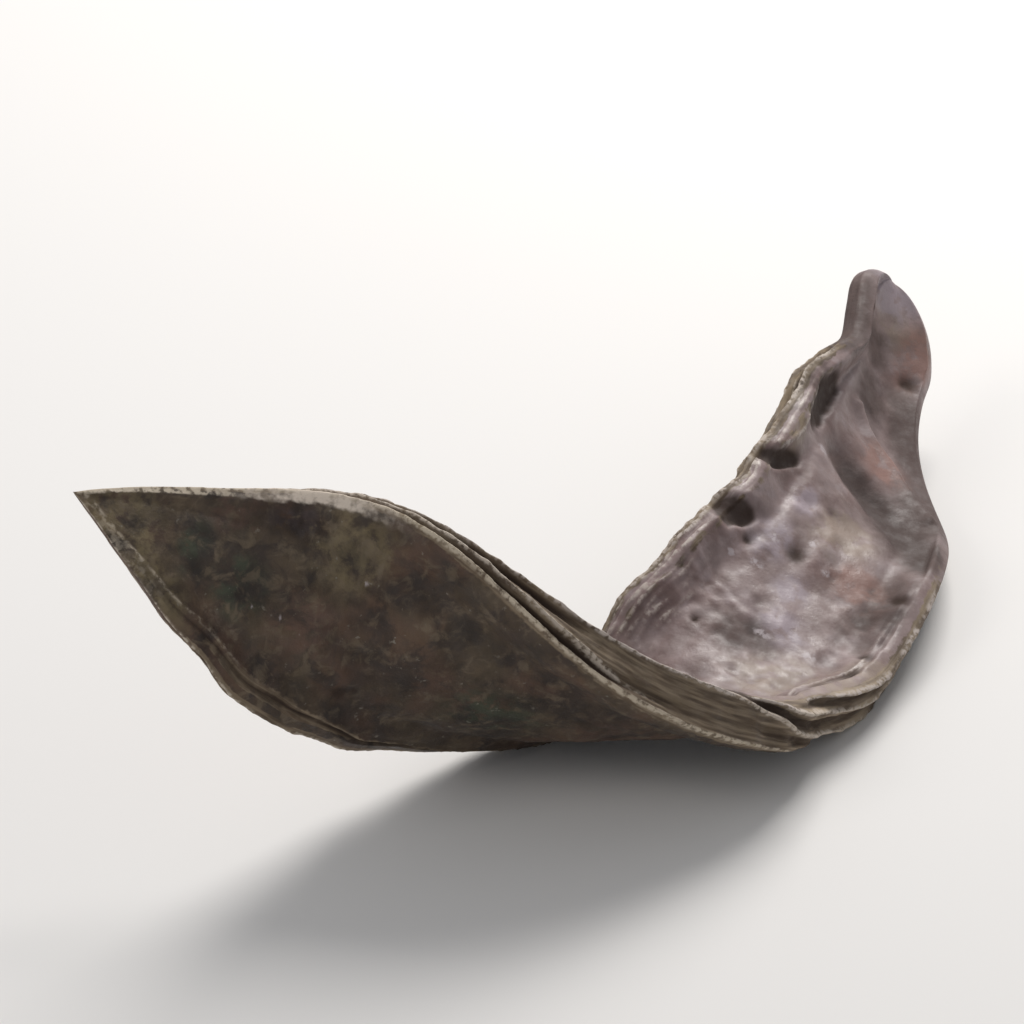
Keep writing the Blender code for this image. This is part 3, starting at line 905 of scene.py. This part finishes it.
def inner_forms(part, s, a, v):
    """The same for the inner face, whose flanks also hold the hollows."""
    gentle = smooth(s, *GENTLE_COMES) * (v > 0)
    steep = between(s, *STEEP_ALONG) * (v < 0)
    start = FLANK_START + (STEEP_START - FLANK_START) * steep - GENTLE_WIDENING * gentle
    up = np.clip((np.abs(v) - start) / (1 - start), 0, 1)
    up = up * steep + up * up * (3 - 2 * up) * (1 - steep)
    rim = part.seam * (1 - RIM_LOWERING * smooth(s, *RIM_COMES))
    hollow = edge_hollows(s, a - part.low)
    flank = (np.where(v > 0, rim, part.back) - FACE_SHARE * part.seam) * up - HOLLOW_CUT * hollow
    relief, looks = inner_relief(s, a, v, hollow, part)
    return flank, seed_swellings(s, a) + channels(v) * (1 - 0.85 * gentle), relief, looks


def face_block(part, side, steps):
    """Offsets and looks of a face: the outer one from the seam to the back, the inner one the other way."""
    s = part.s
    t = np.linspace(side, -side, steps + 1)[None, :-1]
    v = t * (1 + CROWDING - CROWDING * t * t) + np.zeros_like(s)
    a = 0.5 * (part.low + part.high) + part.half * v
    forms = outer_forms if side > 0 else inner_forms
    flank, broad, relief, looks = forms(part, s, a, v)
    from_edge = np.minimum(part.high - a, a - part.low)
    relief = broad * smooth(1 - np.abs(v), 0, CORNER_FADE) + relief * smooth(from_edge, 0, 0.3)
    least = LEAST_OUTER_SHARE if side > 0 else LEAST_INNER_SHARE
    height = np.maximum(FACE_SHARE * part.seam + flank + relief * part.full_face, least * part.seam)
    looks["side"] = np.full_like(a, 0.5 + 0.5 * side)
    looks["inset"] = from_edge + part.depth
    return a, side * height + part.cup * (1 - v * v), looks


def patches(table, s, a, half, side):
    """Strength of a set of coloured patches, 0 to 1."""
    total = np.zeros_like(a)
    for patch_side, place, share, length, reach in table:
        near = np.exp(-(((s - place) / length) ** 2 + ((a - share * half) / reach) ** 2))
        on_side = 1 if patch_side == 0 else 0.5 + patch_side * (side - 0.5)
        total = np.maximum(total, near * on_side)
    return total


def skin():
    """Points of the skin by ring and place round the section, the two end points, and the looks."""
    values, distance, across, outward = centre_line()
    tip, cap = end_rounding(distance)
    inner = slice(1, -1)
    part = Section(distance[inner], (values[:, 4] * cap)[inner], (values[:, 5] * tip * cap)[inner])
    blocks = [
        seam_block(part),
        face_block(part, 1, OUTER_STEPS),
        back_block(part),
        face_block(part, -1, INNER_STEPS),
    ]
    a = np.hstack([block[0] for block in blocks])
    b = np.hstack([block[1] for block in blocks])
    looks = {name: np.hstack([block[2][name] for block in blocks]) for name in blocks[0][2]}
    for name, table in PATCHES.items():
        looks[name] = patches(table, part.s, a, part.half, looks["side"])
    looks["along"] = part.s + np.zeros_like(a)
    looks["through"] = b
    rings = values[inner, None, :3] + a[:, :, None] * across[inner, None]
    rings = rings + b[:, :, None] * outward[inner, None]
    return rings, values[0, :3], values[-1, :3], looks


def place_in_frame(rings, tip, base):
    """Moves the skin to where the solid lies, and keeps it off the floor plane."""
    low, high = (np.array(corner_point) / MM for corner_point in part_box("pod"))
    own_low = rings.min(axis=(0, 1))
    own_high = rings.max(axis=(0, 1))
    shift = 0.5 * (low + high) - 0.5 * (own_low + own_high)
    shift[2] = high[2] - own_high[2]
    rings = rings + shift
    rings[:, :, 2] = np.maximum(rings[:, :, 2], 0)
    return rings, tip + shift, base + shift, shift


def grid_faces(count, around):
    """Faces of a grid of rings, closed by a fan at each end."""
    faces = []
    for i in range(count - 1):
        for j in range(around):
            k = (j + 1) % around
            faces.append((i * around + j, i * around + k, (i + 1) * around + k, (i + 1) * around + j))
    tip_index = count * around
    last = (count - 1) * around
    for j in range(around):
        k = (j + 1) % around
        faces.append((tip_index, k, j))
        faces.append((tip_index + 1, last + j, last + k))
    return faces


def with_ends(grid):
    """Values of a grid as one list, with those of the two end points."""
    return np.concatenate([grid.ravel(), [grid[0].mean(), grid[-1].mean()]]).astype(np.float32)


def new_object(name, data):
    """An object that is in the scene."""
    made = bpy.data.objects.new(name, data)
    bpy.context.scene.collection.objects.link(made)
    return made


def make_pod():
    """The pod's skin as an object, and how far it was moved into the frame."""
    rings, tip, base, looks = skin()
    rings, tip, base, shift = place_in_frame(rings, tip, base)
    points = np.vstack([rings.reshape(-1, 3), tip, base]) * MM
    mesh = bpy.data.meshes.new("pod_skin")
    mesh.from_pydata(points.tolist(), [], grid_faces(*rings.shape[:2]))
    mesh.shade_smooth()
    for name in ("side", "band", "pale", "recess_shade", "wear_and_highlight", "crest", *PATCHES):
        mesh.attributes.new(name, "FLOAT", "POINT").data.foreach_set("value", with_ends(looks[name]))
    places = np.stack([with_ends(looks[name]) for name in ("along", "inset", "through")], axis=1)
    skin_place = mesh.attributes.new("skin_place", "FLOAT_VECTOR", "POINT")
    skin_place.data.foreach_set("vector", places.ravel())
    return new_object("pod_skin", mesh), shift


def feed(tree, node, inputs):
    """Links a node's inputs to other sockets, or gives them values."""
    for name, value in inputs.items():
        if isinstance(value, bpy.types.NodeSocket):
            tree.links.new(value, node.inputs[name])
        else:
            node.inputs[name].default_value = value


def add(tree, kind, output, inputs, **settings):
    """Output of a new node."""
    node = tree.nodes.new(kind)
    for name, value in settings.items():
        setattr(node, name, value)
    feed(tree, node, inputs)
    return node.outputs[output]


def mix(tree, factor, low, high, blend="MIX"):
    """Colour between low and high."""
    inputs = {0: factor, 6: low, 7: high}
    return add(tree, "ShaderNodeMix", 2, inputs, data_type="RGBA", blend_type=blend)


def plus(tree, first, second):
    """Sum of two values."""
    return add(tree, "ShaderNodeMath", 0, {0: first, 1: second}, operation="ADD")


def times(tree, first, second):
    """Product of two values, between 0 and 1."""
    return add(tree, "ShaderNodeMath", 0, {0: first, 1: second}, operation="MULTIPLY", use_clamp=True)


def ramp(tree, value, low, high, out_low=0, out_high=1):
    """Smooth ramp of a value."""
    inputs = {"Value": value, "From Min": low, "From Max": high, "To Min": out_low, "To Max": out_high}
    return add(tree, "ShaderNodeMapRange", "Result", inputs, interpolation_type="SMOOTHSTEP")


def attribute(tree, name, output="Fac"):
    """Value of a mesh attribute."""
    return add(tree, "ShaderNodeAttribute", output, {}, attribute_name=name)


def noise(tree, place, size, detail=3, roughness=0.55, distortion=0):
    """Noise with features of about that size in millimetres, at places in metres."""
    inputs = {"Vector": place, "Scale": 1 / (size * MM), "Detail": detail, "Roughness": roughness,
              "Distortion": distortion}
    return add(tree, "ShaderNodeTexNoise", "Fac", inputs)


def streaks(tree, along, across):
    """Noise drawn out along the pod, with features of those sizes in millimetres."""
    shrink = (1 / along, 1 / across, 1 / across)
    inputs = {0: attribute(tree, "skin_place", "Vector"), 1: shrink}
    place = add(tree, "ShaderNodeVectorMath", 0, inputs, operation="MULTIPLY")
    return add(tree, "ShaderNodeTexNoise", "Fac", {"Vector": place, "Scale": 1, "Detail": 3})


def patched(tree, colour, name, broken, strength, patch_colour):
    """Colour with one set of patches, their borders broken up by noise."""
    reach = times(tree, attribute(tree, name), broken)
    return mix(tree, ramp(tree, reach, 0.05, 0.72, 0, strength), colour, patch_colour)


def outer_colour(tree, place):
    """Dark olive brown, mottled, with coloured patches and small dark and pale flecks."""
    mottle = ramp(tree, noise(tree, place, 6, 4, 0.6), 0.34, 0.66)
    colour = mix(tree, mottle, OUTER_DARK, OUTER_PALE)
    reddish = ramp(tree, noise(tree, place, 9, 2), 0.46, 0.64, 0, 0.6)
    colour = mix(tree, reddish, colour, OUTER_RED)
    broken = ramp(tree, noise(tree, place, 1.6, 5, 0.65), 0.38, 0.58, 0.25, 1)
    for name, strength, patch_colour in OUTER_PATCHES:
        colour = patched(tree, colour, name, broken, strength, patch_colour)
    blotches = ramp(tree, noise(tree, place, 4.2, 5, 0.62, 0.5), 0.46, 0.64, 0, 0.85)
    colour = mix(tree, blotches, colour, OUTER_BLOTCH)
    wear_and_highlight = ramp(tree, noise(tree, place, 1.7, 5, 0.6, 0.6), 0.5, 0.68, 0, 0.65)
    colour = mix(tree, wear_and_highlight, colour, OUTER_WORN)
    flecks = ramp(tree, noise(tree, place, 0.8, 3), 0.66, 0.76, 0, 0.55)
    return mix(tree, flecks, colour, OUTER_FLECK)


def inner_colour(tree, place):
    """Pinkish grey brown, mottled, with coloured patches, among them painted shade and painted sheen."""
    mottle = ramp(tree, noise(tree, place, 5.5, 4, 0.6), 0.36, 0.64)
    colour = mix(tree, mottle, INNER_DARK, INNER_PALE)
    bloom = ramp(tree, noise(tree, place, 2.6, 4, 0.6), 0.48, 0.72, 0, 0.55)
    colour = mix(tree, bloom, colour, INNER_BLOOM)
    uneven = noise(tree, place, 2, 4)
    broken = ramp(tree, uneven, 0.34, 0.6, 0.3, 1)
    whole = ramp(tree, uneven, 0.34, 0.6, 0.75, 1)
    for name, strength, patch_colour in INNER_PATCHES:
        colour = patched(tree, colour, name, whole if name == "brown" else broken, strength, patch_colour)
    return colour


def band_colour(tree):
    """Khaki brown with streaks along the pod, tan in places."""
    fibres = ramp(tree, streaks(tree, 5, 0.45), 0.35, 0.65)
    return mix(tree, attribute(tree, "tan"), mix(tree, fibres, *BAND), mix(tree, fibres, *TAN_BAND))


def painted_relief_shading(tree, colour):
    """Painted shade in the troughs of the fine relief and painted light on its crests."""
    shade = mix(tree, ramp(tree, attribute(tree, "crest"), -1, 1), TROUGH_PAINTED_SHADE, CREST_PAINTED_LIGHT)
    return mix(tree, 1, colour, shade, "MULTIPLY")


def husk_colour(tree, place, side, band, recess_shade):
    """Colours of the faces and edges, then painted glints, pale lines, painted shade in grooves and recesses,
    and the worn ridge with its painted highlight over them.
    """
    colour = mix(tree, side, inner_colour(tree, place), outer_colour(tree, place))
    colour = mix(tree, band, colour, band_colour(tree))
    # Painted shade in troughs and painted light on crests of the fine relief
    colour = painted_relief_shading(tree, colour)
    crumbs = ramp(tree, noise(tree, place, 0.6, 4), 0.36, 0.6, 0.25, 1)
    # Painted glints over the colour, broken up by the crumbs
    painted_glint = ramp(tree, times(tree, attribute(tree, "painted_glint"), crumbs), 0.15, 0.75, 0, 0.7)
    colour = mix(tree, painted_glint, colour, PAINTED_GLINT_COLOUR)
    pale = ramp(tree, times(tree, attribute(tree, "pale"), crumbs), 0.08, 0.85)
    colour = mix(tree, pale, colour, mix(tree, side, INNER_LINE, OUTER_LINE))
    # Painted shade over grooves and other recesses
    colour = mix(tree, recess_shade, colour, RECESS_SHADE_COLOUR)
    # Worn, pale crumbly ridge near the tip, its colour raised to a painted highlight
    faded = ramp(tree, noise(tree, place, 0.9, 4), 0.3, 0.7, 0.4, 1)
    wear_and_highlight = ramp(tree, times(tree, attribute(tree, "wear_and_highlight"), faded), 0.05, 0.8, 0, 0.92)
    return mix(tree, wear_and_highlight, colour, WORN_HIGHLIGHT_RIDGE)


def husk_roughness(tree, place, side, band, recess_shade):
    """Waxy in places on the inner face, duller on the outer face, the edges, where recesses have painted
    shade, and in brown patches that are partly painted shade.
    """
    roughness = ramp(tree, noise(tree, place, 1.5, 4), 0.3, 0.7, 0.34, 0.6)
    for where, more in ((side, 0.18), (band, 0.18), (recess_shade, 0.4), (attribute(tree, "brown"), 0.25)):
        roughness = plus(tree, roughness, times(tree, where, more))
    return roughness


def husk_grain(tree, place, side):
    """Fine grain as a bump, half as strong on the inner face."""
    height = times(tree, noise(tree, place, 0.5, 6, 0.66), ramp(tree, side, 0, 1, 0.5, 1))
    inputs = {"Strength": BUMP_STRENGTH, "Distance": BUMP_DISTANCE * MM, "Height": height}
    return add(tree, "ShaderNodeBump", "Normal", inputs)


def husk_material():
    """Dry leathery husk with pale ridges and painted shade in its grooves."""
    material = bpy.data.materials.new("husk")
    material.use_nodes = True
    tree = material.node_tree
    place = add(tree, "ShaderNodeTexCoord", "Object", {})
    side = attribute(tree, "side")
    uneven = ramp(tree, noise(tree, place, 1.2), 0.3, 0.7, -0.25, 0.25)
    band = ramp(tree, plus(tree, attribute(tree, "band"), uneven), 0.3, 0.7)
    recess_shade = ramp(tree, attribute(tree, "recess_shade"), 0.05, 0.85, 0, 0.92)
    feed(tree, tree.nodes["Principled BSDF"], {
        "Base Color": husk_colour(tree, place, side, band, recess_shade),
        "Roughness": husk_roughness(tree, place, side, band, recess_shade),
        "Normal": husk_grain(tree, place, side),
    })
    return material


def floor_material():
    """Plain pale floor."""
    material = bpy.data.materials.new("floor")
    material.use_nodes = True
    tree = material.node_tree
    feed(tree, tree.nodes["Principled BSDF"], {"Base Color": FLOOR_COLOUR, "Roughness": FLOOR_ROUGHNESS})
    return material


def make_floor():
    """Wide floor under the pod."""
    low, high = -FLOOR_REACH, FLOOR_REACH
    mesh = bpy.data.meshes.new("floor")
    corners = [(low, low, 0), (high, low, 0), (high, high, 0), (low, high, 0)]
    mesh.from_pydata(corners, [], [(0, 1, 2, 3)])
    mesh.materials.append(floor_material())
    floor = new_object("floor", mesh)


def make_light(name, position, aim, size, power, colour):
    """Square soft light that shines from a position towards a point, in metres."""
    lamp = bpy.data.lights.new(name, "AREA")
    lamp.size = size
    lamp.energy = power
    lamp.color = colour
    light = new_object(name, lamp)
    light.location = position
    light.rotation_euler = (Vector(aim) - Vector(position)).to_track_quat("-Z", "Y").to_euler()


def make_world():
    """Even pale surroundings."""
    world = bpy.data.worlds.new("surroundings")
    world.use_nodes = True
    tree = world.node_tree
    feed(tree, tree.nodes["Background"], {"Color": WORLD_COLOUR, "Strength": WORLD_STRENGTH})
    bpy.context.scene.world = world


def make_camera(shift):
    """Camera at the photograph's viewing angle."""
    slope = math.radians(CAMERA_ELEVATION)
    back = np.array([0, -math.cos(slope), math.sin(slope)]) * CAMERA_DISTANCE
    camera_data = bpy.data.cameras.new("camera")
    camera_data.lens = CAMERA_LENS
    camera_data.sensor_width = CAMERA_SENSOR
    camera_data.clip_start = 0.01
    camera_data.clip_end = 20
    camera = new_object("camera", camera_data)
    camera.location = Vector((np.array(CAMERA_TARGET) + shift + back) * MM)
    camera.rotation_euler = (0.5 * math.pi - slope, 0, 0)
    bpy.context.scene.camera = camera


def write_sizes():
    """Updates the view layer."""
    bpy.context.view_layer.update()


def main():
    """Builds the pod and what it is seen with."""
    pod, shift = make_pod()
    pod.data.materials.append(husk_material())
    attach(pod, "root")
    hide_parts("pod")
    make_floor()
    make_world()
    for light in LIGHTS:
        make_light(*light)
    bpy.context.scene.view_settings.view_transform = "Standard"
    make_camera(shift)
    write_sizes()


main()
